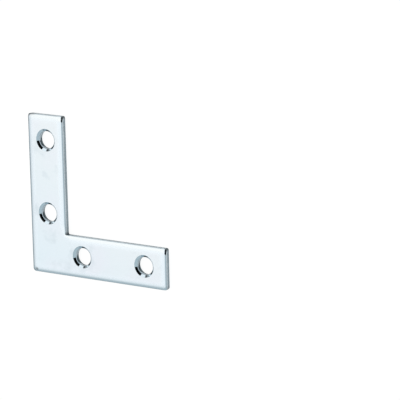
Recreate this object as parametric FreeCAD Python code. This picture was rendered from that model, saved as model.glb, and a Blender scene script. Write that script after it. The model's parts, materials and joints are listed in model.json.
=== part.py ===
"""Flat angle bracket: an L-shaped plate blanked from sheet steel, with four countersunk holes.

The plate lies on its back face. The origin is on that face, where the two lines of screw holes
cross. One arm runs along +X, the other along +Y, and +Z leaves the countersunk front face.
All sizes are in millimetres.

The plate is made as its own skin. The section of the blanked edge is carried round the outline,
the section of a screw hole is turned about the axis of each hole, and two flat faces close it.
"""
import FreeCAD, Part
import math
import os

from FreeCAD import Vector

# The plate
arm_length = 40.0              # each arm, from the outer corner of the L to the arm's end
arm_width = 10.35
thickness = 1.8

# The blanked edge, from the front face down to the back face
rollover_width = 0.6           # the margin of the front face that the die drew down
rollover_depth = 0.35          # how far it is drawn down where it reaches the wall
torn_height = 1.0              # the band next to the back face that tore instead of being cut
torn_setback = 0.08            # how far the torn band has leaned in at the back face
back_edge_radius = 0.15        # the tumbled edge round the back face

# The corners of the outline
face_corner_radius = 0.2       # convex corners of the flat front face, inside the rolled margin
inner_corner_radius = 0.3      # the wall in the corner where the inner edges of the arms meet

# The screw holes, two in each arm
corner_to_near_hole = 15.3     # along the arm, from the outer corner of the L
end_to_far_hole = 6.3          # along the arm, from its end
hole_line_shift = 0.15         # how far the holes stand off mid-arm, towards the inner edge
hole_diameter = 4.4
countersink_depth = 0.6
countersink_angle = 90.0       # between opposite sides of the cone, in degrees
countersink_lip_radius = 0.12  # the softened rim between the front face and the cone
break_out_height = 0.5         # the band of a punched hole that tore, next to the back face
break_out_flare = 0.06         # how much the hole's radius has grown at the back face

# The outline's convex corners, where the die cuts them
outer_corner_radius = face_corner_radius + rollover_width

# Places along an arm, measured from the crossing of the two lines of holes
outer_edge = -(arm_width / 2 + hole_line_shift)
inner_edge = outer_edge + arm_width
arm_end = outer_edge + arm_length
near_hole = outer_edge + corner_to_near_hole
far_hole = arm_end - end_to_far_hole
hole_centres = [(near_hole, 0), (far_hole, 0), (0, near_hole), (0, far_hole)]

on_plane = 1e-6                # how near to a plane an edge counts as lying in it


def round_corner(before, corner, after, radius):
    """The arc that rounds a corner between its two neighbours, as its start, middle and end."""
    to_before = (before - corner).normalize()
    to_after = (after - corner).normalize()
    half_angle = to_before.getAngle(to_after) / 2
    reach = radius / math.tan(half_angle)
    gap = radius / math.sin(half_angle) - radius
    bisector = (to_before + to_after).normalize()
    return corner + to_before * reach, corner + bisector * gap, corner + to_after * reach


def rounded_path(corners, closed=False):
    """Edges through the (point, radius) corners in order. A radius of 0 leaves a corner sharp."""
    points = [point for point, _ in corners]
    edges = []
    last = None
    for i, (point, radius) in enumerate(corners):
        arc = None
        start = end = point
        if radius:
            after = points[(i + 1) % len(points)]
            start, middle, end = round_corner(points[i - 1], point, after, radius)
            arc = Part.Arc(start, middle, end).toShape()
        if last:
            edges.append(Part.LineSegment(last, start).toShape())
        if arc:
            edges.append(arc)
        last = end
    if closed:
        edges.append(Part.LineSegment(last, edges[0].firstVertex().Point).toShape())
    return edges


def plate_outline():
    """The L that the die cuts, as a closed wire in the plane of the back face.

    It starts where the arm along X leaves its straight outer edge for the corner at its end.
    """
    corners = [
        (arm_end, outer_edge, outer_corner_radius),
        (arm_end, inner_edge, outer_corner_radius),
        (inner_edge, inner_edge, inner_corner_radius),
        (inner_edge, arm_end, outer_corner_radius),
        (outer_edge, arm_end, outer_corner_radius),
        (outer_edge, outer_edge, outer_corner_radius),
    ]
    return Part.Wire(rounded_path([(Vector(x, y, 0), r) for x, y, r in corners], closed=True))


def edge_section(foot, inward):
    """The blanked edge above one point of the outline, from the front face to the back face.

    The front face rolls down as a quarter of an ellipse, the wall drops straight where the die
    cut it and leans in where the steel tore, and a small radius turns it onto the back face.
    """
    def at(depth, height):
        return foot + inward * depth + Vector(0, 0, height)

    cut_top = thickness - rollover_depth
    rollover = Part.Ellipse(at(0, cut_top), at(rollover_width, thickness),
                            at(rollover_width, cut_top))
    wall = rounded_path([
        (at(0, cut_top), 0),
        (at(0, torn_height), 0),
        (at(torn_setback, 0), back_edge_radius),
        (at(arm_width / 2, 0), 0),
    ])
    # the last edge of the path lies in the back face and is there to guide the radius
    return Part.Wire([Part.Edge(rollover, 0, math.pi / 2)] + wall[:-1])


def hole_section():
    """The wall of a countersunk hole on the Z axis, from the front face to the back face."""
    radius = hole_diameter / 2
    mouth = radius + countersink_depth * math.tan(math.radians(countersink_angle / 2))
    wall = rounded_path([
        (Vector(mouth * 2, 0, thickness), 0),
        (Vector(mouth, 0, thickness), countersink_lip_radius),
        (Vector(radius, 0, thickness - countersink_depth), 0),
        (Vector(radius, 0, break_out_height), 0),
        (Vector(radius + break_out_flare, 0, 0), back_edge_radius),
        (Vector(mouth * 2, 0, 0), 0),
    ])
    # the first and last edges of the path lie in the flat faces and are there to guide the radii
    return Part.Wire(wall[1:-1])


def edge_skin():
    """The blanked edge all round the plate."""
    outline = plate_outline()
    foot = outline.Edges[0].firstVertex().Point
    sweep = Part.BRepOffsetAPI.MakePipeShell(outline)
    sweep.setBiNormalMode(Vector(0, 0, 1))
    sweep.add(edge_section(foot, Vector(0, 1, 0)))
    sweep.build()
    return sweep.shape()


def hole_skin(x, y):
    """The wall of one screw hole."""
    skin = hole_section().revolve(Vector(0, 0, 0), Vector(0, 0, 1), 360)
    skin.translate(Vector(x, y, 0))
    return skin


def flat_face(skins, height):
    """The flat face that closes the skins at one height: the L with a round opening for each hole."""
    def in_plane(edge):
        return all(abs(vertex.Z - height) < on_plane for vertex in edge.Vertexes)

    rims = [Part.Wire(Part.sortEdges([edge for edge in skin.Edges if in_plane(edge)])[0])
            for skin in skins]
    return Part.makeFace(rims, "Part::FaceMakerBullseye")


def bracket():
    """The whole plate as one solid."""
    skins = [edge_skin()] + [hole_skin(x, y) for x, y in hole_centres]
    faces = [face for skin in skins for face in skin.Faces]
    faces += [flat_face(skins, height) for height in (thickness, 0)]
    shell = Part.makeShell(faces)
    shell.sewShape()
    return Part.Solid(shell)


plate = bracket()
print("solid is valid:", plate.isValid(), " volume", round(plate.Volume, 2), "mm3",
      " faces", len(plate.Faces))
os.makedirs("parts", exist_ok=True)
plate.exportStep("parts/bracket.step")
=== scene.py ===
# %% [markdown]
# # A zinc-plated angle bracket
#
# The object is a flat L-shaped plate, blanked from sheet steel, punched and countersunk, then
# barrel plated with bright zinc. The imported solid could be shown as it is, but its edge has one
# section all round. So this script keeps the solid's frame and size, and makes a finer skin of
# the same plate, on which the sheared edge, the finish and the light can show.
#
# Lengths are in millimetres until the mesh is made.

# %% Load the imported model
import json
import math

import bpy
import numpy as np
from mathutils import Matrix, Vector
from mathutils.geometry import delaunay_2d_cdt


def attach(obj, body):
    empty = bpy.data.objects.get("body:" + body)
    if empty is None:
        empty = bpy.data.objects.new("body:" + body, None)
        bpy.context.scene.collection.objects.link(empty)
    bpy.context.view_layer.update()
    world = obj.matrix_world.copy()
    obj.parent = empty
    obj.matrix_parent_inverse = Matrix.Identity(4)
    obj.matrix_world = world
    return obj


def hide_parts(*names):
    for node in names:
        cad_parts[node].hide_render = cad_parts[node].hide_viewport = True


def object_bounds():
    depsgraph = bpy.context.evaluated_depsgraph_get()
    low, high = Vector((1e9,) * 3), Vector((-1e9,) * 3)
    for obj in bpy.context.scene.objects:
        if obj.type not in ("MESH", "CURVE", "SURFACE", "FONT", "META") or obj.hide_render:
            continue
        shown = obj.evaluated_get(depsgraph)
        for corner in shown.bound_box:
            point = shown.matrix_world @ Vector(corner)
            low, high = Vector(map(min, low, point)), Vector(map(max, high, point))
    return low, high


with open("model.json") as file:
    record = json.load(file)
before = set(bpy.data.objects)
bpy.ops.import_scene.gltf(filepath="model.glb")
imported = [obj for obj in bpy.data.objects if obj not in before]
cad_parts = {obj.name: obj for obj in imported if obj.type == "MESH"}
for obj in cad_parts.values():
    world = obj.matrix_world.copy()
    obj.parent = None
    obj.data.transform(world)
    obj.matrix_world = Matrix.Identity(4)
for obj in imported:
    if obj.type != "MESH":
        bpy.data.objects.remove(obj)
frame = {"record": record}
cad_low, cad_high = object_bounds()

mm = 0.001
bores = [mount for mount in frame["record"]["mounts"] if mount["kind"] == "bore"]
holes = [np.array(bore["pos_m"][:2]) / mm for bore in bores]
hole_radius = bores[0]["dims"]["r_mm"]
print("plate", [round(v / mm, 2) for v in (cad_high - cad_low)], "mm, holes", len(holes),
      "of radius", hole_radius, "mm")

# %% [markdown]
# ## The outline of the plate
#
# A blanking die cuts the whole outline in one stroke, so the wall of the L is one closed band.
# It could be modelled as six walls and joined, but then each corner is a seam. Here the path is
# written once, as straight runs and corners, and everything at the edge is a section carried
# along it.
#
# Each column of the skin is a spoke: it starts at a pivot inside the plate and points straight
# out through the wall. On a straight run the spokes are parallel, and at a corner they fan out
# from one pivot.
#
# A spoke is five things: its pivot, its angle, its turn within a corner, its reach from the pivot
# to the wall, and its lean, which says how the reach changes for each millimetre into the plate:
# -1, or +1 in the inner corner, where the pivot lies outside.

# %% The path round the L
quarter = math.pi / 2      # a quarter turn, in radians
thickness = (cad_high.z - cad_low.z) / mm
arm_width = 10.35
outer = cad_low.x / mm
inner = outer + arm_width
arm_end = cad_high.x / mm
roll_width = 1.8           # margin of the front face that the die draws down
inner_corner_radius = 0.3
wall_step = 0.15           # spacing of the columns along straight walls
corner_steps = 48          # columns in each corner


def straight(start, end):
    """Spokes of a straight wall from start to end: evenly spaced, all pointing along the outward
    normal, which is the direction of travel turned a quarter turn clockwise. Their pivots lie
    roll_width inside the wall."""
    start, end = np.array(start, float), np.array(end, float)
    run = end - start
    count = round(np.hypot(*run) / wall_step)
    share = np.arange(count) / count
    angle = math.atan2(-run[0], run[1])
    normal = np.array([math.cos(angle), math.sin(angle)])
    pivot = start + share[:, None] * run - roll_width * normal
    flat = np.zeros(count)
    return pivot, flat + angle, flat, flat + roll_width, flat - 1


def convex(pivot, first_angle):
    """Spokes that fan out evenly from one pivot, through a quarter turn from first_angle on."""
    turn = np.linspace(0, quarter, corner_steps, endpoint=False)
    flat = np.zeros(corner_steps)
    return np.array(pivot) + flat[:, None], first_angle + turn, turn, flat + roll_width, flat - 1


def concave(pivot, first_angle):
    """The corner between the arms: its pivot lies outside the plate, and its spokes turn back."""
    turn = np.linspace(quarter, 0, corner_steps, endpoint=False)
    flat = np.zeros(corner_steps)
    return (np.array(pivot) + flat[:, None], first_angle + turn, flat,
            flat + inner_corner_radius, flat + 1)


inset, nook = roll_width, inner_corner_radius
path = [
    straight((outer + inset, outer), (arm_end - inset, outer)),
    convex((arm_end - inset, outer + inset), -quarter),
    straight((arm_end, outer + inset), (arm_end, inner - inset)),
    convex((arm_end - inset, inner - inset), 0),
    straight((arm_end - inset, inner), (inner + nook, inner)),
    concave((inner + nook, inner + nook), 2 * quarter),
    straight((inner, inner + nook), (inner, arm_end - inset)),
    convex((inner - inset, arm_end - inset), 0),
    straight((inner - inset, arm_end), (outer + inset, arm_end)),
    convex((outer + inset, arm_end - inset), quarter),
    straight((outer, arm_end - inset), (outer, outer + inset)),
    convex((outer + inset, outer + inset), 2 * quarter),
]
pivot, angle, turn, reach, lean = (np.concatenate(part) for part in zip(*path))
print("outline", len(pivot), "columns")

# %% [markdown]
# The die rounds a convex corner of the wall only a little, but the front face is drawn down in
# rounder and rounder rings inside it. An arc would look alike on every ring. A superellipse has
# one number for its squareness, and that can change from ring to ring.

# %% From spoke and depth to a place in plan
wall_squareness = 9.0      # of a convex corner where the die cut it
face_squareness = 3.0      # of the same corner where the flat face begins
squareness_depth = 0.4     # how deep into the plate that change goes


def smooth(share):
    """3 s squared less 2 s cubed, with s held between 0 and 1."""
    share = np.clip(share, 0, 1)
    return share * share * (3 - 2 * share)


def in_plan(depth):
    """Where the rows of a section lie in plan, at their depths inside the wall.

    A point is its pivot plus the spoke's direction times the reach left at that depth. In a
    convex corner the length is divided by (c ** n + s ** n) ** (1 / n), where c and s are the
    cosine and sine of the turn and n is the squareness, which makes each ring a superellipse."""
    n = wall_squareness + (face_squareness - wall_squareness) * smooth(depth / squareness_depth)
    c, s = np.cos(turn)[:, None], np.sin(turn)[:, None]
    length = (reach[:, None] + lean[:, None] * depth) / (c ** n + s ** n) ** (1 / n)
    direction = np.stack([np.cos(angle), np.sin(angle)], -1)
    return pivot[:, None] + length[..., None] * direction[:, None]


wall = in_plan(np.zeros((len(pivot), 1)))[:, 0]
steps = np.hypot(*(np.roll(wall, -1, 0) - wall).T)
trip = np.concatenate([[0], np.cumsum(steps)[:-1]]) / steps.sum()
print("the wall is", round(steps.sum(), 1), "mm round")

# %% [markdown]
# ## The sheared edge
#
# Going down a blanked wall there are four bands: the roll-over, where the sheet was pulled down
# before it cut; the burnished band, pressed smooth by the die; the torn band, where the steel
# broke away; and the back edge, dulled by tumbling. Convex corners are drawn down further, and
# there the steel tears lower. The line between the burnished and the torn band wanders.
#
# A bevel would give one even radius. A section with these bands, carried round the path, gives
# the edge its real look, and waves that close on themselves give the wandering line and the
# relief of the tear with no seam.

# %% Random relief and nearness
slant_spread = 6.0         # of a ripple's waves, in radians for each millimetre down the wall


def ripple(share, down, slowest, fastest, count, seed):
    """Random relief that closes on itself, mostly between -1 and 1: the sum of sine waves, each
    with a whole number of periods per trip round and a slant of its own going down the wall, and
    each as high as one over the root of its number of periods."""
    rng = np.random.default_rng(seed)
    periods = np.round(np.geomspace(slowest, fastest, count))
    phase = rng.uniform(0, 2 * math.pi, count)
    slant = rng.normal(0, slant_spread, count)
    waves = np.sin(2 * math.pi * periods * share[..., None] + phase + slant * down[..., None])
    total = (waves / np.sqrt(periods)).sum(-1)
    return total / (2 * total.std())


def blend(first, last, share):
    """first times (1 - share) plus last times share."""
    return first * (1 - share) + last * share


def bell(share):
    """Half of one plus the cosine of pi times the share, with the share held between 0 and 1: it
    falls gently from 1 to 0."""
    return 0.5 + 0.5 * np.cos(math.pi * np.clip(share, 0, 1))


def away_from(places, tips):
    """Distance in plan to the nearest of these tips."""
    return np.min([np.linalg.norm(places - tip, axis=-1) for tip in tips], 0)


def near(places, tips, extent):
    """A bell of the distance to the nearest of these tips: 1 there, and 0 at the extent from it."""
    return bell(away_from(places, tips) / extent)


# %% [markdown]
# ### The section, carried round
#
# Blanking leaves a section that changes along the wall: it could be one profile swept round the
# path, but a sweep can't sag at a corner. So each row of the section is a list of depths and
# heights, one for each column, and the corners, the crushed facets and the wandering tear are
# written straight into those lists.

# %% The section, carried round
roll_rows, cut_rows, torn_rows, back_rows = 24, 8, 16, 6
first_row = 0.05           # how far across the roll-over its first row lies, as a share
roll_depth = 0.35
nook_easing = 0.6          # share by which the roll-over is smaller in the inner corner
nook_reach = 2.5           # and how far from that corner it is smaller
facet_slope = 0.95         # of the crushed facet beside the inner tips
facet_sink = 0.08          # how far below the roll-over it meets the wall
facet_reach = 2.3          # how far from the tip the facet has faded out
facet_rise = 0.4           # how far it rises as it fades out
facet_fade = 1.3           # and over what length
facet_facing = 0.5         # cosine to +X above which a wall begins to have a facet
facet_turning = 0.3        # and how much more of it until the facet is whole
torn_height = 1.0
torn_drop = 0.45           # how much lower the steel tears at a convex corner
drop_reach = 1.6           # and how far from the corner that begins
torn_wander = 0.1          # how far the top of the torn band strays up and down
torn_lean = 0.08           # how far the torn band has leaned in at its foot
torn_relief = 0.02
relief_power = 0.4         # of the sine that ends the relief at both edges of a torn band
back_radius = 0.15
back_rim = 0.05            # strip of flat back face that follows the wall

inner_tips = [(arm_end, inner), (inner, arm_end)]
outer_tips = [(arm_end, outer), (outer, outer), (outer, arm_end)]
convex_tips = inner_tips + outer_tips
concave_tip = [(inner, inner)]
sags = [(inner_tips, 0.34, 1.25), (outer_tips, 0.24, 0.85)]   # at which tips, depth, reach
sag_power = 1.25


def edge_rows():
    """Depth into the plate and height of every row of the section, one line for each column.

    The roll-over is a superellipse: share x of its width and share z of its depth with x to the
    third plus z squared equal to one, so it starts gently and ends upright. Beside an inner tip,
    on the side that faces +X, it is cut off by a facet that rises evenly from the wall. Every
    convex corner sags by its depth times (1 - share of its reach) to the sag power. The torn
    band leans in evenly, its relief dies away at both of its edges, and the back edge is a
    quarter circle."""
    easing = 1 - nook_easing * near(wall, concave_tip, nook_reach)[:, None]
    sweep = np.linspace(math.asin(first_row ** 1.5), quarter, roll_rows)
    x, z = np.sin(sweep) ** (2 / 3), np.cos(sweep)
    z[0] = 1.0             # the first row is level with the flat face
    roll_depths = roll_width * easing * (1 - x)
    roll_heights = thickness - roll_depth * easing * (1 - z)
    crushed = (smooth((facet_reach - away_from(wall, inner_tips)) / facet_fade)
               * smooth((np.cos(angle) - facet_facing) / facet_turning))[:, None]
    facet = thickness - roll_depth - facet_sink + facet_rise * (1 - crushed)
    roll_heights = np.minimum(roll_heights, facet + facet_slope * roll_depths)
    places = in_plan(roll_depths)
    for tips, sag, sag_reach in sags:
        fullness = np.clip(1 - away_from(places, tips) / sag_reach, 0, 1)
        roll_heights = roll_heights - sag * fullness ** sag_power

    wander = ripple(trip, 0 * trip, slowest=8, fastest=400, count=40, seed=1)[:, None]
    top = torn_height + torn_wander * wander
    top = top - torn_drop * near(wall, convex_tips, drop_reach)[:, None]
    cut_heights = blend(roll_heights[:, -1:], top, np.linspace(0, 1, cut_rows + 1)[1:])

    down = np.linspace(0, 1, torn_rows + 1)[1:]
    torn_heights = blend(top, back_radius, down)
    relief = ripple(trip[:, None] + 0 * down, top - torn_heights,
                    slowest=30, fastest=1000, count=60, seed=2)
    swell = torn_relief * (1 + relief) * np.sin(math.pi * down) ** relief_power
    torn_depths = torn_lean * down + swell

    bend = np.linspace(0, quarter, back_rows + 1)[1:]
    back_depths = torn_lean + back_radius * (1 - np.cos(bend)) + 0 * top
    back_heights = back_radius * (1 - np.sin(bend)) + 0 * top
    rim_depths = back_depths[:, -1:] + back_rim
    depth = [roll_depths, 0 * cut_heights, torn_depths, back_depths, rim_depths]
    height = [roll_heights, cut_heights, torn_heights, back_heights, back_heights[:, -1:]]
    return np.concatenate(depth, 1), np.concatenate(height, 1)


depth, height = edge_rows()
edge_grid = np.concatenate([in_plan(depth), height[..., None]], -1)
edge_bands = (["sheet"] * (roll_rows - 1) + ["cut"] * cut_rows + ["torn"] * torn_rows
              + ["sheet"] * (back_rows + 1))
print("edge", edge_grid.shape[0], "columns of", edge_grid.shape[1], "rows, lowest corner at",
      round(height[:, roll_rows - 1].min(), 2), "mm")

# %% [markdown]
# ## The countersunk holes
#
# Each hole is punched, so its wall has the same two bands as the edge. A cone is then pressed
# into the front, which leaves a soft lip at the face and a soft step where it meets the bore.
# The tear climbs high on one side, as under a worn punch, and there its dark colour paints a dark arc
# of shade in the hole.
#
# A hole could be cut with a cylinder and a cone, but a cut leaves sharp rims and nothing that
# the tear could follow. So all of it is one section turned about the axis of the hole.

# %% One hole's wall
lip_rows, cone_rows, step_rows, bore_rows, tear_rows, turn_rows = 6, 6, 8, 6, 8, 5
ledge_rows = 4             # those of the tear's rows that are next to the bore
sink_width = 0.6           # in plan
cone_degrees = 41          # tilt of the cone from level
cone_tilt = math.radians(cone_degrees)
sink_lip = 0.12            # radius between the face and the cone
sink_step = 0.28           # radius between the cone and the bore
least_bore = 0.02          # height left of the bore where the tear climbs highest
tear_height = 0.35
tear_wander = 0.04
tear_peaks = [(208, 52, 0.85), (268, 24, 0.5)]   # bearing and half width in degrees, height
break_flare = 0.06         # how much wider the hole is at the foot of the tear
bore_relief = 0.012
rim = 0.04                 # strip of flat face round each hole that turns with it
hole_steps = 144
first_seed = 10            # of the holes' ripples


def tear_top(share, seed):
    """Height at which the bore tears, round the hole: an even height, a bell at each peak, and a
    little ripple."""
    top = tear_height + tear_wander * ripple(share, 0 * share, slowest=2, fastest=60, count=20,
                                             seed=seed)
    for bearing, half_width, rise in tear_peaks:
        away = np.abs((share * 360 - bearing + 180) % 360 - 180)
        top = top + rise * bell(away / half_width)
    return top[:, None]


def hole_grid(centre, seed):
    """The wall of a countersunk hole, as a grid of columns about its axis and rows going down.

    A lip arc from level to the cone's tilt, the cone, an arc on to upright, the straight bore,
    the flared tear and a quarter circle onto the back face. An arc that turns by t between two
    straight lines leaves each of them at its radius times the tangent of t / 2 from where they
    would have met."""
    share = np.arange(hole_steps) / hole_steps
    bend = np.linspace(0, cone_tilt, lip_rows)
    lip_r = hole_radius + sink_width + sink_lip * (math.tan(cone_tilt / 2) - np.sin(bend))
    lip_z = thickness - sink_lip * (1 - np.cos(bend))

    step_reach = sink_step * math.tan((quarter - cone_tilt) / 2)
    foot_z = thickness - sink_width * math.tan(cone_tilt)
    bend = np.linspace(cone_tilt, quarter, step_rows + 1)
    step_r = hole_radius + sink_step * (1 - np.sin(bend))
    step_z = foot_z - step_reach + sink_step * np.cos(bend)
    down = np.linspace(0, 1, cone_rows + 1)[1:]
    cone_r = np.append(blend(lip_r[-1], step_r[0], down), step_r[1:])
    cone_z = np.append(blend(lip_z[-1], step_z[0], down), step_z[1:])

    top = np.minimum(tear_top(share, seed), cone_z[-1] - least_bore)
    bore_z = blend(cone_z[-1], top, np.linspace(0, 1, bore_rows + 1)[1:])
    down = np.linspace(0, 1, tear_rows + 1)[1:]
    tear_z = blend(top, back_radius, down)
    relief = ripple(share[:, None] + 0 * down, top - tear_z,
                    slowest=4, fastest=70, count=30, seed=seed + 50)
    swell = bore_relief * (1 + relief) * np.sin(math.pi * down) ** relief_power
    tear_r = hole_radius + break_flare * down + swell

    bend = np.linspace(0, quarter, turn_rows + 1)[1:]
    back_r = hole_radius + break_flare + back_radius * (1 - np.cos(bend))
    back_z = back_radius * (1 - np.sin(bend))
    radius = [lip_r[0] + rim, lip_r, cone_r, hole_radius + 0 * bore_z, tear_r, back_r,
              back_r[-1] + rim]
    z = [thickness, lip_z, cone_z, bore_z, tear_z, back_z, 0.0]
    ones = np.ones((hole_steps, 1))
    radius = np.concatenate([ones * part for part in radius], 1)
    z = np.concatenate([ones * part for part in z], 1)
    around = 2 * math.pi * share[:, None]
    return np.stack([centre[0] + radius * np.cos(around), centre[1] + radius * np.sin(around), z], -1)


hole_bands = (["sheet"] * lip_rows + ["cone"] * (cone_rows + step_rows) + ["bore"] * bore_rows
              + ["ledge"] * ledge_rows + ["tear"] * (tear_rows - ledge_rows)
              + ["sheet"] * (turn_rows + 1))
hole_grids = [hole_grid(centre, seed) for seed, centre in enumerate(holes, first_seed)]
print("hole walls", len(hole_grids), "of", hole_grids[0].shape)

# %% [markdown]
# ## One closed skin
#
# A real plate has no gaps, and a skin that is closed can be exported and printed. A grid becomes
# quads by joining each column to the next and the last to the first. Each flat face could be one
# large polygon with holes, but that shades unevenly. So it is filled by a triangulation that is
# held to the rims and to a grid of points inside them, and the rims are shared.

# %% Fill the flat faces
fill_step = 0.6
hole_margin = 0.25         # from the mouth of a hole to the nearest inside point
inside_outline = 1         # the triangulation's mode that keeps what lies inside the outer loop
same_place = 1e-7          # mm: points that are nearer than this become one


def grid_quads(count, rows, first, flip):
    """Quads of a grid that closes on itself round its columns, numbered from first."""
    column, row = np.meshgrid(np.arange(count), np.arange(rows - 1), indexing="ij")
    after = (column + 1) % count
    quads = np.stack([column * rows + row, column * rows + row + 1,
                      after * rows + row + 1, after * rows + row], -1).reshape(-1, 4) + first
    return quads[:, ::-1] if flip else quads


def inside_plate(points, margin):
    """True where a point lies in the L, at least margin inside its sides and clear of its holes."""
    low, high = outer + margin, arm_end - margin
    x, y = points.T
    in_arm_x = (x > low) & (x < high) & (y > low) & (y < inner - margin)
    in_arm_y = (y > low) & (y < high) & (x > low) & (x < inner - margin)
    gap = np.min([np.hypot(*(points - hole).T) for hole in holes], 0)
    return (in_arm_x | in_arm_y) & (gap > hole_radius + sink_width + hole_margin)


def fill_flat(rims, first_inside, margin):
    """Triangles between the rims, and the inside points that they use.

    rims holds (indices, points) of each closed rim, the outline first. The inside points are a
    square grid, every other line shifted by half a step. A triangle stays unless its middle lies
    in a hole."""
    x, y = np.meshgrid(np.arange(outer, arm_end, fill_step), np.arange(outer, arm_end, fill_step))
    x[1::2] += fill_step / 2
    inside = np.stack([x.ravel(), y.ravel()], 1)
    inside = inside[inside_plate(inside, margin)]
    points = np.concatenate([p for _, p in rims] + [inside])
    index = np.concatenate([i for i, _ in rims] + [np.arange(len(inside)) + first_inside])
    loops, start = [], 0
    for _, p in rims:
        loop = np.arange(len(p)) + start
        loops.append(np.stack([loop, np.roll(loop, -1)], 1))
        start += len(p)
    edges = np.concatenate(loops).tolist()
    result = delaunay_2d_cdt([Vector(p) for p in points], edges, [], inside_outline, same_place)
    made, origin = result[2], result[3]
    triangles = np.array([[origin[v][0] for v in face] for face in made])
    middle = points[triangles].mean(1)
    rim_radius = [np.hypot(*(p - hole).T).min() for (_, p), hole in zip(rims[1:], holes)]
    gap = np.min([np.hypot(*(middle - hole).T) - radius
                  for hole, radius in zip(holes, rim_radius)], 0)
    return index[triangles[gap > 0]], inside


# %% [markdown]
# ### Join everything
#
# The real plate is one piece of steel, so the edge, the four hole walls and the two flat faces
# become one mesh: separate pieces would show a seam where the shading of one meets the next. Each
# face keeps the number of its finish, and only creases sharper than 35 degrees are shaded sharp,
# which leaves the soft lips and the roll-over smooth.

# %% Join everything
finish_names = ["sheet", "cut", "torn", "cone", "bore", "ledge", "tear"]
grids = [(edge_grid, edge_bands, False)] + [(grid, hole_bands, True) for grid in hole_grids]
vertices = [grid.reshape(-1, 3) for grid, _, _ in grids]
firsts = np.concatenate([[0], np.cumsum([len(v) for v in vertices])])
faces, face_finish = [], []
for (grid, bands, flip), first in zip(grids, firsts):
    count, rows = grid.shape[:2]
    faces += grid_quads(count, rows, first, flip).tolist()
    face_finish += [finish_names.index(band) for band in bands] * count
total = firsts[-1]
front = (0, thickness, roll_width + 0.05)   # row that is the rim, height, margin of inside points
back = (-1, 0.0, 0.5)
for row, level, margin in (front, back):
    rims = []
    for (grid, _, _), first in zip(grids, firsts):
        count, rows = grid.shape[:2]
        rims.append((first + np.arange(count) * rows + row % rows, grid[:, row, :2]))
    triangles, inside = fill_flat(rims, total, margin)
    if row:                # the back face looks down
        triangles = triangles[:, ::-1]
    faces += triangles.tolist()
    face_finish += [finish_names.index("sheet")] * len(triangles)
    vertices.append(np.column_stack([inside, np.full(len(inside), level)]))
    total += len(inside)
points = np.concatenate(vertices)
mesh = bpy.data.meshes.new("angle_plate")
mesh.from_pydata(points * mm, [], faces)
mesh.polygons.foreach_set("material_index", np.array(face_finish, np.int32))
mesh.shade_smooth()
crease = math.radians(35)
mesh.set_sharp_from_angle(angle=crease)
plate = bpy.data.objects.new("angle_plate", mesh)
bpy.context.scene.collection.objects.link(plate)
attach(plate, "root")
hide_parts("bracket")
print("plate", len(points), "vertices,", len(faces), "faces, needed mending:", mesh.validate())

# %% [markdown]
# ## What the skin tells its finish
#
# The finish isn't painted the same everywhere. Towards the edge the sheet has been stretched smooth,
# and the turn onto the wall and the lips of the holes are painted greyer, for the darker reflection
# there. The convex tips are painted nearly black for the dark reflections they show, the inner corner
# for the shade that falls into it, and one small stain sits on the face. Both numbers could be painted
# on a texture, but that has to be unwrapped and has a pixel size. As numbers carried by the vertices
# they follow the shape, and a material reads them as attributes.

# %% Attributes
# The lips of the holes carry part of the edge's share, which paints them greyer, for their darker
# reflection.
lip_share = [0, 0.3, 0.7]  # of the first rows round a hole
edge_share = np.concatenate([np.linspace(first_row, 1, roll_rows),
                             np.ones(len(edge_bands) + 1 - roll_rows)])
hole_share = np.concatenate([lip_share, np.ones(len(hole_bands) + 1 - len(lip_share))])
shares = [np.tile(edge_share, len(edge_grid))]
shares += [np.tile(hole_share, hole_steps)] * len(hole_grids)
shares = np.concatenate(shares)
shares = np.pad(shares, (0, len(points) - len(shares)))
plan = points[:, :2]
stain = [(outer + 1.3, outer + 0.75)]       # a small one on the face, near the outer corner
# Painted dark reflections at the convex tips, painted shade in the inner corner, and a stain on the
# face. Each line gives where, how dark, how far it reaches, and the edge shares where it sets in.
shade_and_stain_spots = [             # where, how dull, how far it reaches, edge shares where it sets in
    (inner_tips, 0.9, 1.1, 0.95, 1.0),
    (outer_tips, 0.55, 1.4, 0.8, 1.0),
    (outer_tips[2:], 1.0, 3.0, 0.5, 0.8),
    (concave_tip, 0.8, 0.75, 0.8, 1.0),
    (stain, 0.6, 0.65, 0.0, 0.01),
]
shade_and_stain = np.max([amount * near(plan, tips, extent) * smooth((shares - first) / (last - first))
               for tips, amount, extent, first, last in shade_and_stain_spots], 0)
for name, values in (("edge_share", shares), ("painted_shade_and_stain", shade_and_stain)):
    attribute = mesh.attributes.new(name, "FLOAT", "POINT")
    attribute.data.foreach_set("value", values.astype(np.float32))
    print(name, "from", round(values.min(), 2), "to", round(values.max(), 2))

# %% [markdown]
# ## Zinc on steel
#
# The plate is bright zinc with a thin blue passivate. What differs from band to band is the steel
# under it: rolled sheet is smooth with a faint grain, the burnished wall has lines drawn down it
# by the die, the torn band is rough, and a pressed cone is the smoothest of all. One material
# could tell them apart by height, but the bands wander. So each band has its own finish.

# %% Colours and nodes


def srgb(code):
    """A hex colour as linear red, green, blue and alpha: each channel c becomes c / 12.92 below
    0.04045, and otherwise ((c + 0.055) / 1.055) to the power 2.4."""
    c = np.array([int(code[i:i + 2], 16) / 255 for i in (1, 3, 5)])
    linear = np.where(c <= 0.04045, c / 12.92, ((c + 0.055) / 1.055) ** 2.4)
    return (*linear.tolist(), 1.0)


def add(tree, kind, inputs=None, **settings):
    """Adds a node of a kind. inputs maps a socket's name or number to a value or to the socket
    that feeds it, and settings are the node's own properties. A Mix node of colours has its share
    in socket 0, its two colours in sockets 6 and 7, and its result in output 2."""
    node = tree.nodes.new(kind)
    for name, value in settings.items():
        setattr(node, name, value)
    for key, value in (inputs or {}).items():
        if isinstance(value, bpy.types.NodeSocket):
            tree.links.new(value, node.inputs[key])
        else:
            node.inputs[key].default_value = value
    return node


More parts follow.
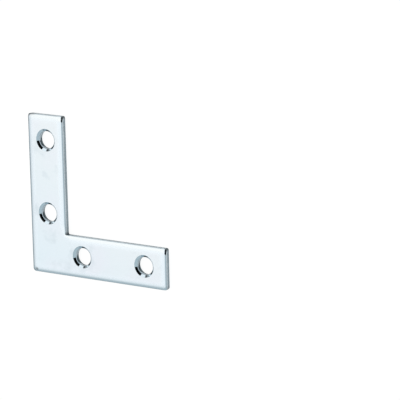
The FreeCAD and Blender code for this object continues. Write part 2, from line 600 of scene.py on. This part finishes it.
def new_material(name):
    """An empty material with its node tree and the place on the object that its patterns use."""
    material = bpy.data.materials.new(name)
    material.use_nodes = True
    tree = material.node_tree
    tree.nodes.clear()
    return material, tree, add(tree, "ShaderNodeTexCoord").outputs["Object"]


# %% [markdown]
# ### The sheet
#
# The front and back face are sheet as the mill rolled it. A plain mirror would look like chrome: what
# makes it read as zinc is the broad, slightly blurred shine, a film that is pinker in clouds, a few
# faint smudges, and fine scuffs from the plating barrel. Its colour is also painted bluer at one end
# and paler at the other, for the change of reflection across the face, and greyer where the edge turns
# down, for the darker reflection there. Towards the edge the drawn steel is smoother, so the margin
# shines harder.

# %% The sheet
# Sizes of the patterns. Clouds and smudges are as large as on a real plate. The grain of real
# sheet is 0.05 mm and its scuffs are 0.02 mm wide: both are drawn coarser, or they would vanish.
cloud_size = 9 * mm
smudge_size = 4 * mm
grain_size = 0.8 * mm
grain_height = 0.0012 * mm
scuff_width = 0.25 * mm
scuff_cut = 0.0006 * mm
scuff_stretch = 0.06       # a scuff is this share as wide as it is long
scuff_headings = (0.5, 1.9)       # of its two lays, in radians
face_roughness = 0.34
margin_roughness = 0.12
scuff_roughness = 0.06     # what a scuff adds
# The painted change of reflection across the face runs along the diagonal of the L, between these two
# places.
painted_sweep_span = (-7 * mm, 22 * mm)   # along the diagonal of the L, from the bluest film to the palest


def zinc_on_sheet():
    """Bright zinc on rolled sheet: a pale metal, blurred enough that it shines broadly instead of
    mirroring, which is what tells zinc from chrome. The colour is painted bluer at one end of the
    diagonal and paler at the other, for the change of reflection across the face. Large noise tints the
    passivate bluer and pinker, smaller noise, cut off high, leaves smudges, and two lays of stretched
    noise are the scuffs. Colour and roughness go to those of the drawn edge with the share that the
    skin carries, and the turn onto the wall is painted greyer, for its darker reflection. The corners
    are painted nearly black: dark reflections at the tips, shade in the inner corner, and one small
    stain on the face."""
    material, tree, place = new_material("zinc_on_rolled_sheet")
    share = add(tree, "ShaderNodeAttribute", attribute_name="edge_share").outputs["Fac"]
    shade_and_stain_share = add(tree, "ShaderNodeAttribute", attribute_name="painted_shade_and_stain").outputs["Fac"]

    # A painted change of reflection across the face: bluer at one end of the diagonal, paler at the
    # other.
    runs = add(tree, "ShaderNodeMapping", {"Vector": place, "Rotation": (0, 0, -math.pi / 4)})
    along = add(tree, "ShaderNodeSeparateXYZ", {0: runs.outputs[0]}).outputs[0]
    painted_sweep = add(tree, "ShaderNodeMapRange", {"Value": along, "From Min": painted_sweep_span[0],
                                               "From Max": painted_sweep_span[1]}).outputs[0]
    film = add(tree, "ShaderNodeMix", {0: painted_sweep, 6: srgb("#E7F3FA"), 7: srgb("#ECF3F7")},
               data_type="RGBA").outputs[2]

    # Pinker clouds, where the film is thicker, and grey smudges from handling.
    cloud = add(tree, "ShaderNodeTexNoise", {"Vector": place, "Scale": 1 / cloud_size, "Detail": 1.0})
    pink = add(tree, "ShaderNodeMapRange", {"Value": cloud.outputs[0], "From Min": 0.45,
                                            "From Max": 0.75, "To Max": 0.6}).outputs[0]
    smudge = add(tree, "ShaderNodeTexNoise", {"Vector": place, "Scale": 1 / smudge_size, "Detail": 4.0})
    stained = add(tree, "ShaderNodeMapRange", {"Value": smudge.outputs[0], "From Min": 0.58,
                                               "From Max": 0.78, "To Max": 0.6}).outputs[0]

    # The drawn margin is a little greyer, and the turn onto the wall is painted greyer again, for the
    # darker reflection that it shows.
    drawn = add(tree, "ShaderNodeMapRange", {"Value": share, "From Min": 0.02,
                                             "From Max": 0.3}).outputs[0]
    turned = add(tree, "ShaderNodeMapRange", {"Value": share, "From Min": 0.55, "From Max": 1.0},
                 interpolation_type="SMOOTHSTEP").outputs[0]

    # The last layer paints the corners nearly black: painted dark reflections at the tips, painted
    # shade in the inner corner, and the stain.
    layers = [(pink, "#EDF0F8"), (stained, "#D2DEE5"), (drawn, "#DFE9EF"), (turned, "#C2D0D8"),
              (shade_and_stain_share, "#2C373B")]
    for amount, code in layers:
        film = add(tree, "ShaderNodeMix", {0: amount, 6: film, 7: srgb(code)},
                   data_type="RGBA").outputs[2]

    # Scuffs blur the shine a little. The drawn margin is polished.
    polish = add(tree, "ShaderNodeMapRange", {"Value": share, "From Min": 0.0, "From Max": 0.3,
                                              "To Min": face_roughness,
                                              "To Max": margin_roughness}).outputs[0]
    scuffs = []
    for heading in scuff_headings:
        lay = add(tree, "ShaderNodeMapping", {"Vector": place, "Rotation": (0, 0, heading)})
        lay = add(tree, "ShaderNodeMapping", {"Vector": lay.outputs[0],
                                              "Scale": (1.0, scuff_stretch, 1.0)})
        line = add(tree, "ShaderNodeTexNoise", {"Vector": lay.outputs[0],
                                                "Scale": 1 / scuff_width, "Detail": 2.0})
        scuffs.append(add(tree, "ShaderNodeMapRange", {"Value": line.outputs[0], "From Min": 0.62,
                                                       "From Max": 0.72}).outputs[0])
    scuff = add(tree, "ShaderNodeMath", {0: scuffs[0], 1: scuffs[1]}, operation="MAXIMUM").outputs[0]
    rough = add(tree, "ShaderNodeMath", {0: scuff, 1: scuff_roughness, 2: polish},
                operation="MULTIPLY_ADD").outputs[0]

    # Rolling grain stands a thousandth of a millimetre high, and scuffs are cut half as deep.
    grain = add(tree, "ShaderNodeTexNoise", {"Vector": place, "Scale": 1 / grain_size, "Detail": 3.0})
    bump = add(tree, "ShaderNodeBump", {"Height": grain.outputs[0], "Strength": 1.0,
                                        "Distance": grain_height})
    bump = add(tree, "ShaderNodeBump", {"Height": scuff, "Strength": 1.0, "Distance": scuff_cut,
                                        "Normal": bump.outputs[0]}, invert=True)
    shader = add(tree, "ShaderNodeBsdfPrincipled", {
        "Base Color": film, "Metallic": 1.0, "Roughness": rough, "Normal": bump.outputs[0]})
    add(tree, "ShaderNodeOutputMaterial", {"Surface": shader.outputs[0]})
    return material


sheet_zinc = zinc_on_sheet()
print(sheet_zinc.name, "has", len(sheet_zinc.node_tree.nodes), "nodes")

# %% [markdown]
# ### The walls
#
# Every wall has the same zinc over different steel. One recipe with a few numbers is enough for
# all of them, and it keeps them one family: how light the zinc is, how rough, how coarse the
# grain is and how far it is drawn out down the wall.

# %% The walls


def zinc_on_wall(name, light, dark, roughness, grain_mm, relief_mm, stretch):
    """Zinc on a sheared wall: noise of one grain size, drawn out down the wall by a stretch below one,
    makes the relief and mixes the lighter and the darker colour. The corners are painted nearly black:
    dark reflections at the tips and shade in the inner corner."""
    material, tree, place = new_material(name)
    shade_and_stain_share = add(tree, "ShaderNodeAttribute", attribute_name="painted_shade_and_stain").outputs["Fac"]
    lay = add(tree, "ShaderNodeMapping", {"Vector": place, "Scale": (1.0, 1.0, stretch)})
    grain = add(tree, "ShaderNodeTexNoise", {"Vector": lay.outputs[0],
                                             "Scale": 1 / (grain_mm * mm), "Detail": 3.0})
    share = add(tree, "ShaderNodeMapRange", {"Value": grain.outputs[0], "From Min": 0.35,
                                             "From Max": 0.65}).outputs[0]
    colour = add(tree, "ShaderNodeMix", {0: share, 6: srgb(dark), 7: srgb(light)},
                 data_type="RGBA").outputs[2]
    # Painted dark reflections at the tips and painted shade in the inner corner.
    colour = add(tree, "ShaderNodeMix", {0: shade_and_stain_share, 6: colour, 7: srgb("#222C30")},
                 data_type="RGBA").outputs[2]
    bump = add(tree, "ShaderNodeBump", {"Height": grain.outputs[0], "Strength": 1.0,
                                        "Distance": relief_mm * mm})
    shader = add(tree, "ShaderNodeBsdfPrincipled", {
        "Base Color": colour, "Metallic": 1.0, "Roughness": roughness, "Normal": bump.outputs[0]})
    add(tree, "ShaderNodeOutputMaterial", {"Surface": shader.outputs[0]})
    return material


# Name, lighter and darker colour, roughness, grain and relief in mm, stretch. Real tears have a
# grain of 0.1 mm, drawn here at 0.25 mm so that it shows in the picture.
finishes = {
    "sheet": sheet_zinc,
    # a bright, satin band with fine lines down it, under the margin
    "cut": zinc_on_wall("zinc_on_burnished_wall", "#DEE7EC", "#D0DBE1", 0.2, 0.3, 0.006, 0.1),
    # a darker, matt, rough band along the foot of the wall
    "torn": zinc_on_wall("zinc_on_torn_wall", "#BCC8CE", "#A0ADB3", 0.4, 0.25, 0.03, 0.5),
    # almost a mirror: it shows the room sharply, with its black card
    "cone": zinc_on_wall("zinc_on_pressed_cone", "#DEE9F0", "#D6E2E9", 0.05, 0.5, 0.001, 1.0),
    # as bright as the burnished wall, in the shade of the hole
    "bore": zinc_on_wall("zinc_on_burnished_bore", "#CCD9E0", "#BECCD4", 0.2, 0.3, 0.004, 0.1),
    # painted shade: a dark line where the tear steps back under the bore, for the shadow under that
    # step
    "ledge": zinc_on_wall("zinc_with_painted_ledge_shade", "#4C585D", "#2E383C", 0.35, 0.25, 0.03, 0.5),
    # grey and rough, thinly plated, and painted darker than the torn band of the outer wall, for the
    # shade inside the hole
    "tear": zinc_on_wall("zinc_on_torn_bore_painted_darker", "#8C9A9F", "#69767B", 0.35, 0.25, 0.03, 0.5),
}
for name in finish_names:
    mesh.materials.append(finishes[name])
print("finishes", [m.name for m in mesh.materials])

# %% [markdown]
# ## The camera
#
# The camera looks down on the plate with a long lens. It could be placed by eye, but in a picture
# of 400 pixels the wall is only four to five pixels high. So it was placed by fitting the
# plate's corners, holes and wall to the picture that the plate was sized from.

# %% Camera
picture = 400              # pixels
sensor = 36.0              # mm
focal_px = 2441.98         # focal length in pixels of the picture
aim = np.array((43.806, 17.789, 0.0)) * mm       # what lies in the middle of the picture
distance = 578.648 * mm    # from there to the camera
azimuth, elevation, roll = (math.radians(v) for v in (112.7407, 54.4186, 110.0202))

to_camera = np.array([math.sin(azimuth) * math.cos(elevation),
                      -math.cos(azimuth) * math.cos(elevation), math.sin(elevation)])
lens = bpy.data.cameras.new("camera")
lens.sensor_width = sensor
lens.lens = focal_px / picture * sensor
lens.clip_start, lens.clip_end = 0.01, 20
camera = bpy.data.objects.new("camera", lens)
upright = Vector(-to_camera).to_track_quat("-Z", "Y").to_matrix()
turned = upright @ Matrix.Rotation(-roll, 3, "Z")
camera.matrix_world = Matrix.Translation(aim + distance * to_camera) @ turned.to_4x4()
bpy.context.scene.collection.objects.link(camera)
bpy.context.scene.camera = camera
print("camera at", np.round(aim + distance * to_camera, 4), "lens", round(lens.lens, 1), "mm")

# %% [markdown]
# ## Light and floor
#
# Bright metal shows what stands round it. Lamps would show in it as spots, so the light comes
# from the room itself, and the room is laid out by mirroring. A ray of the room belongs to the
# surface that sends the camera's line of sight along it, which faces half way between that ray
# and the camera. So a card can be put exactly where the countersinks mirror it, by the tilt and
# bearing of their cones.
#
# The room has a large softbox overhead, pale walls, one black card high on the right, a small dark
# card low at the far left with a white reflector beside it, and a left side that darkens towards
# the floor. Left, right and far are those of the picture: -X, +X and +Y.

# %% What stands in the room
softbox = Vector((-0.40, 0.35, 0.85)).normalized()
overhead = [               # cosine of the angle to the softbox, and the light there
    (0.20, "#ACB8BC"),
    (0.55, "#A8B3B7"),
    (0.81, "#EFF0F1"),
    (0.95, "#FFFAF5"),
]
room_level = 1.28                 # strength of the whole room
reflector_seen = (80, 45)         # bearing and tilt of the surface that mirrors its middle
reflector_size = (11, 19)         # degrees from its middle: where its edge begins and ends
small_card_seen = (101, cone_degrees)
small_card_size = (6, 12)
small_card_dark = 0.85            # share of the light that it takes
card_bearings = (9.5, 65, 1.5)    # of the surfaces that mirror the card: from, to and softness
card_levels = (0.66, 0.81, 0.01)  # and the cosines of their tilts
card_black = 0.995                # share of the light that a card takes
low_dark = 0.85                   # share of the light that is missing low on the left
low_heights = (0.1, 0.32)         # z of a ray where that starts to fade, and where it ends
low_left = (-0.25, -0.5)          # x where it sets in, and where it is full
low_far = (-0.05, 0.2)            # y between which it weakens to the next share
low_far_share = 0.3
left_wall = (-0.58, -0.88)        # x between which the left wall darkens to the next share
left_wall_share = 0.78


def mirrored(bearing, tilt):
    """Where a mirror tilted so far from the floor's level, towards this bearing, sends the
    camera's line of sight: twice the normal times their cosine, less the way to the camera."""
    b, t = math.radians(bearing), math.radians(tilt)
    normal = np.array([math.cos(b) * math.sin(t), math.sin(b) * math.sin(t), math.cos(t)])
    return 2 * normal.dot(to_camera) * normal - to_camera


for bearing in card_bearings[:2]:
    print("at bearing", bearing, "a countersink mirrors", np.round(mirrored(bearing, cone_degrees), 2))

# %% [markdown]
# ### The room as a world
#
# A world gives each direction a colour and a strength. It could be a picture wrapped round the
# scene, but that is soft where a card's edge has to be sharp. Written as nodes, each card is a
# few numbers that can be moved.

# %% The room


def room():
    """The world. Its colour follows the angle to the softbox, with the reflector laid over it. The
    cards, the low dark and the left wall each leave a share of the light, and these multiply."""
    world = bpy.data.worlds.new("room")
    bpy.context.scene.world = world
    world.use_nodes = True
    tree = world.node_tree
    tree.nodes.clear()
    ray = add(tree, "ShaderNodeTexCoord").outputs["Generated"]

    def between(value, low, high, soft):
        """1 between low and high, fading over soft on either side."""
        rise = add(tree, "ShaderNodeMapRange", {"Value": value, "From Min": low - soft,
                                                "From Max": low + soft},
                   interpolation_type="SMOOTHSTEP").outputs[0]
        fall = add(tree, "ShaderNodeMapRange", {"Value": value, "From Min": high - soft,
                                                "From Max": high + soft, "To Min": 1.0,
                                                "To Max": 0.0},
                   interpolation_type="SMOOTHSTEP").outputs[0]
        return add(tree, "ShaderNodeMath", {0: rise, 1: fall}, operation="MULTIPLY").outputs[0]

    def patch(direction, inner_deg, outer_deg):
        """1 within inner_deg of a direction, fading to 0 at outer_deg."""
        cosine = add(tree, "ShaderNodeVectorMath", {0: ray, 1: tuple(direction)},
                     operation="DOT_PRODUCT").outputs["Value"]
        return add(tree, "ShaderNodeMapRange", {
            "Value": cosine, "From Min": math.cos(math.radians(outer_deg)),
            "From Max": math.cos(math.radians(inner_deg))},
            interpolation_type="SMOOTHSTEP").outputs[0]

    cosine = add(tree, "ShaderNodeVectorMath", {0: ray, 1: softbox}, operation="DOT_PRODUCT")
    ramp = add(tree, "ShaderNodeValToRGB", {0: cosine.outputs["Value"]})
    stops = ramp.color_ramp
    stops.interpolation = "EASE"
    for stop, (place, code) in zip(stops.elements, (overhead[0], overhead[-1])):
        stop.position, stop.color = place, srgb(code)
    for place, code in overhead[1:-1]:
        stops.elements.new(place).color = srgb(code)
    white = patch(mirrored(*reflector_seen), *reflector_size)
    colour = add(tree, "ShaderNodeMix", {0: white, 6: ramp.outputs[0], 7: srgb("#ECEFF0")},
                 data_type="RGBA").outputs[2]

    # The black card, written as the surfaces that mirror it, and the small card.
    half_way = add(tree, "ShaderNodeVectorMath", {0: ray, 1: tuple(to_camera)}, operation="ADD")
    half_way = add(tree, "ShaderNodeVectorMath", {0: half_way.outputs[0]}, operation="NORMALIZE")
    axes = add(tree, "ShaderNodeSeparateXYZ", {0: half_way.outputs[0]}).outputs
    bearing = add(tree, "ShaderNodeMath", {0: axes["Y"], 1: axes["X"]}, operation="ARCTAN2").outputs[0]
    card = add(tree, "ShaderNodeMath", {
        0: between(bearing, *(math.radians(v) for v in card_bearings)),
        1: between(axes["Z"], *card_levels)}, operation="MULTIPLY").outputs[0]
    small = patch(mirrored(*small_card_seen), *small_card_size)
    small = add(tree, "ShaderNodeMath", {0: small, 1: small_card_dark}, operation="MULTIPLY").outputs[0]
    dark = add(tree, "ShaderNodeMath", {0: card, 1: small}, operation="MAXIMUM").outputs[0]
    cards = add(tree, "ShaderNodeMath", {0: dark, 1: -card_black, 2: 1.0},
                operation="MULTIPLY_ADD").outputs[0]

    # Low on the left there is less light, and less of that on the far side.
    axes = add(tree, "ShaderNodeSeparateXYZ", {0: ray}).outputs
    foot = add(tree, "ShaderNodeMapRange", {
        "Value": axes["Z"], "From Min": low_heights[0], "From Max": low_heights[1],
        "To Min": low_dark, "To Max": 0.0}).outputs[0]
    left = add(tree, "ShaderNodeMapRange", {
        "Value": axes["X"], "From Min": low_left[0], "From Max": low_left[1]}).outputs[0]
    near_side = add(tree, "ShaderNodeMapRange", {
        "Value": axes["Y"], "From Min": low_far[0], "From Max": low_far[1],
        "To Min": 1.0, "To Max": low_far_share}).outputs[0]
    low = add(tree, "ShaderNodeMath", {0: foot, 1: left}, operation="MULTIPLY").outputs[0]
    low = add(tree, "ShaderNodeMath", {0: low, 1: near_side}, operation="MULTIPLY").outputs[0]
    floor_light = add(tree, "ShaderNodeMath", {0: 1.0, 1: low}, operation="SUBTRACT").outputs[0]
    side = add(tree, "ShaderNodeMapRange", {
        "Value": axes["X"], "From Min": left_wall[0], "From Max": left_wall[1],
        "To Min": 1.0, "To Max": left_wall_share}).outputs[0]

    level = cards
    for share in (floor_light, side, room_level):
        level = add(tree, "ShaderNodeMath", {0: level, 1: share}, operation="MULTIPLY").outputs[0]
    background = add(tree, "ShaderNodeBackground", {"Color": colour, "Strength": level})
    add(tree, "ShaderNodeOutputWorld", {"Surface": background.outputs[0]})


room()
print("room of", len(bpy.context.scene.world.node_tree.nodes), "nodes")

# %% [markdown]
# The floor is a sheet of white paper. Real paper comes out grey and uneven, and with no floor
# there is no shadow. So the camera sees it nearly all plain white, and what is left of its own
# shading keeps the plate's shadow. The metal sees more of the shading, so that its walls darken
# towards their foot.

# %% The floor
plain_level = 1.1          # of the white light, so that it comes out plain white
seen_share = 0.85          # of plain white, for the camera's own rays
metal_share = 0.28         # and for what the metal mirrors
half = 1.5                 # m
below = 0.02 * mm          # so that the floor and the back face don't share a plane


def white_paper():
    """Matt white, mixed with plain white light by how a ray came to it: a share for the camera's
    own rays, another for mirrored ones, and none for the rest."""
    material, tree, _ = new_material("white_paper")
    lit = add(tree, "ShaderNodeBsdfDiffuse", {"Color": srgb("#EDEFF0")})
    plain = add(tree, "ShaderNodeEmission", {"Color": (1, 1, 1, 1), "Strength": plain_level})
    ray = add(tree, "ShaderNodeLightPath").outputs
    seen = add(tree, "ShaderNodeMath", {0: ray["Is Camera Ray"], 1: seen_share}, operation="MULTIPLY")
    share = add(tree, "ShaderNodeMath", {0: ray["Is Glossy Ray"], 1: metal_share, 2: seen.outputs[0]},
                operation="MULTIPLY_ADD")
    mix = add(tree, "ShaderNodeMixShader", {0: share.outputs[0], 1: lit.outputs[0],
                                            2: plain.outputs[0]})
    add(tree, "ShaderNodeOutputMaterial", {"Surface": mix.outputs[0]})
    return material


corners = [(-half, -half, -below), (half, -half, -below), (half, half, -below),
           (-half, half, -below)]
floor_mesh = bpy.data.meshes.new("floor")
floor_mesh.from_pydata(corners, [], [(0, 1, 2, 3)])
floor_mesh.materials.append(white_paper())
floor = bpy.data.objects.new("floor", floor_mesh)
bpy.context.scene.collection.objects.link(floor)
bpy.context.scene.view_settings.view_transform = "Standard"
print("floor", 2 * half, "m square")
